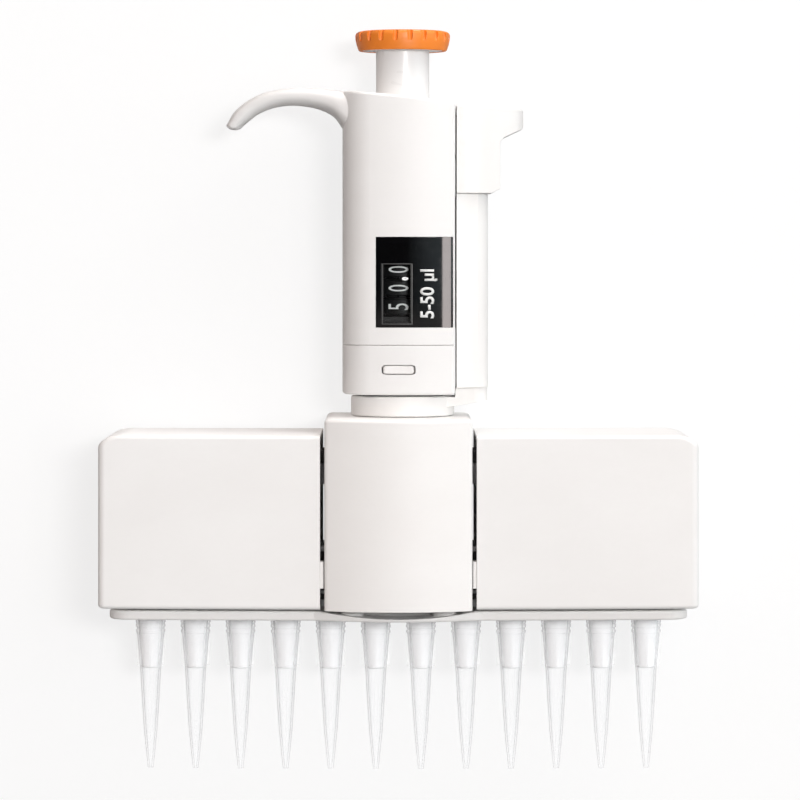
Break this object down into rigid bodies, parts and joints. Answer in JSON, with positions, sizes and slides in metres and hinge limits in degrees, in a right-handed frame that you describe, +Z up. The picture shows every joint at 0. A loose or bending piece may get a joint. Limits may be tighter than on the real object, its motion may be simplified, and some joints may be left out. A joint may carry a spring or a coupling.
{
  "type": "multichannel pipette",
  "caption": "Hand pipette with a row of disposable tips, wide channel module, swivelling handle with finger hook, dial knob, volume window and tip ejector.",
  "frame": {"origin": "middle of the row of tips, at the tip ends", "axes": "+Z up along the plunger, tips point to -Z; the row of tips runs along X; the display faces -Y; the finger hook is on -X and the tip ejector on +X"},
  "size_m": [0.1176, 0.038, 0.268],
  "materials": {
    "housing_white": "warm white moulded ABS, fine matte texture",
    "knob_orange": "satin orange",
    "panel_black": "high gloss black",
    "lens_clear": "clear",
    "wheel_black": "satin black",
    "tip_clear": "translucent natural polypropylene",
    "nozzle_white": "satin off-white",
    "inner_grey": "glass-filled moulding",
    "bush_dark": "acetal",
    "seal_rubber": "matte",
    "steel": "ground",
    "spring_steel": "drawn wire",
    "aluminium": "machined",
    "brass": "turned"
  },
  "bodies": {
    "module": {"chassis": "inner_grey", "cylinder_block": "inner_grey", "nozzle_cones": "nozzle_white", "nozzle_seals": "seal_rubber", "piston_seals": "seal_rubber", "seal_plate": "steel", "nozzle_plate": "inner_grey", "nozzle_plate_screws": "steel", "chassis_screws": "steel", "guide_rods": "steel", "thrust_ring": "steel", "neck_clip": "steel", "left_cover": "housing_white", "right_cover": "housing_white", "cover_screws": "steel", "carriage_springs": "spring_steel"},
    "piston_carriage": {"piston_bar": "aluminium", "piston_clamp": "aluminium", "piston_clamp_screws": "steel", "pistons": "steel", "carriage_bushes": "bush_dark"},
    "stripper": {"centre_cover": "housing_white", "stripper_rods": "steel", "stripper_bar": "housing_white", "stripper_screws": "steel"},
    "tip_set": {"tips": "tip_clear"},
    "handle": {"handle_shell": "housing_white", "lower_sleeve": "housing_white", "sleeve_screws": "steel", "swivel_bush": "bush_dark", "display_panel": "panel_black", "counter_lens": "lens_clear", "counter_frame": "wheel_black", "pinion_shaft": "steel", "spring_seat": "inner_grey", "primary_spring": "spring_steel", "overshoot_spring": "spring_steel", "overshoot_washer": "steel", "ejector_spring": "spring_steel"},
    "latch": {"release_latch": "housing_white"},
    "ejector": {"ejector_button": "housing_white", "ejector_arm": "housing_white", "ejector_pin": "steel", "ejector_ring": "housing_white"},
    "plunger": {"spring_collar": "inner_grey"},
    "dial": {"knob_cap": "knob_orange", "knob_stem": "housing_white", "knob_insert": "brass", "drive_shaft": "steel", "push_foot": "bush_dark"},
    "hub_tenths": {"drive_hub": "bush_dark", "hub_clip": "steel", "wheel_tenths": "wheel_black"},
    "units": {"wheel_units": "wheel_black"},
    "tens": {"wheel_tens": "wheel_black"},
    "pinion_low": {"carry_pinion_low": "bush_dark"},
    "pinion_high": {"carry_pinion_high": "bush_dark"}
  },
  "joints": [
    {"name": "swivel", "type": "hinge", "parent": "module", "child": "handle", "pos_m": [0.00085, 0, 0.1445], "axis": [0, 0, 1], "continuous": true},
    {"name": "press", "type": "slide", "parent": "handle", "child": "plunger", "axis": [0, 0, -1], "range_m": [0, 0.014], "stiffness_N_per_m": 250, "springref_m": -0.01, "deforming": ["primary_spring"]},
    {"name": "carriage", "type": "slide", "parent": "module", "child": "piston_carriage", "axis": [0, 0, -1], "range_m": [0, 0.014], "stiffness_N_per_m": 150, "springref_m": -0.008, "deforming": ["carriage_springs"]},
    {"name": "dial_turn", "type": "hinge", "parent": "plunger", "child": "dial", "pos_m": [0.00085, 0, 0.25], "axis": [0, 0, 1], "range_deg": [-3240, 0]},
    {"name": "hub_turn", "type": "hinge", "parent": "handle", "child": "hub_tenths", "pos_m": [0.00085, 0, 0.18], "axis": [0, 0, 1], "range_deg": [-3240, 0]},
    {"name": "units_turn", "type": "hinge", "parent": "handle", "child": "units", "pos_m": [0.00085, 0, 0.1748], "axis": [0, 0, 1], "range_deg": [-1620, 0]},
    {"name": "tens_turn", "type": "hinge", "parent": "handle", "child": "tens", "pos_m": [0.00085, 0, 0.1681], "axis": [0, 0, 1], "range_deg": [-180, 0]},
    {"name": "pinion_high_turn", "type": "hinge", "parent": "handle", "child": "pinion_high", "pos_m": [0.00565, 0.0083, 0.178], "axis": [0, 0, 1], "range_deg": [0, 4050]},
    {"name": "pinion_low_turn", "type": "hinge", "parent": "handle", "child": "pinion_low", "pos_m": [0.00565, 0.0083, 0.1715], "axis": [0, 0, 1], "range_deg": [0, 450]},
    {"name": "eject", "type": "slide", "parent": "handle", "child": "ejector", "axis": [0, 0, -1], "range_m": [0, 0.005], "stiffness_N_per_m": 300, "springref_m": -0.004, "deforming": ["ejector_spring"]},
    {"name": "strip", "type": "slide", "parent": "module", "child": "stripper", "axis": [0, 0, -1], "range_m": [0, 0.005]},
    {"name": "tip_push", "type": "slide", "parent": "module", "child": "tip_set", "axis": [0, 0, -1], "range_m": [0, 0.005]},
    {"name": "latch_press", "type": "slide", "parent": "handle", "child": "latch", "axis": [0, 1, 0], "range_m": [0, 0.0008], "stiffness_N_per_m": 500, "springref_m": -0.0005}
  ],
  "couplings": [
    {"joint": "carriage", "follows": "press", "ratio": 1},
    {"joint": "hub_turn", "follows": "dial_turn", "ratio": 1},
    {"joint": "units_turn", "follows": "dial_turn", "ratio": 0.5},
    {"joint": "tens_turn", "follows": "dial_turn", "ratio": 0.055556},
    {"joint": "pinion_high_turn", "follows": "dial_turn", "ratio": -1.25},
    {"joint": "pinion_low_turn", "follows": "dial_turn", "ratio": -0.13889},
    {"joint": "strip", "follows": "eject", "ratio": 1},
    {"joint": "tip_push", "follows": "eject", "ratio": 1}
  ]
}
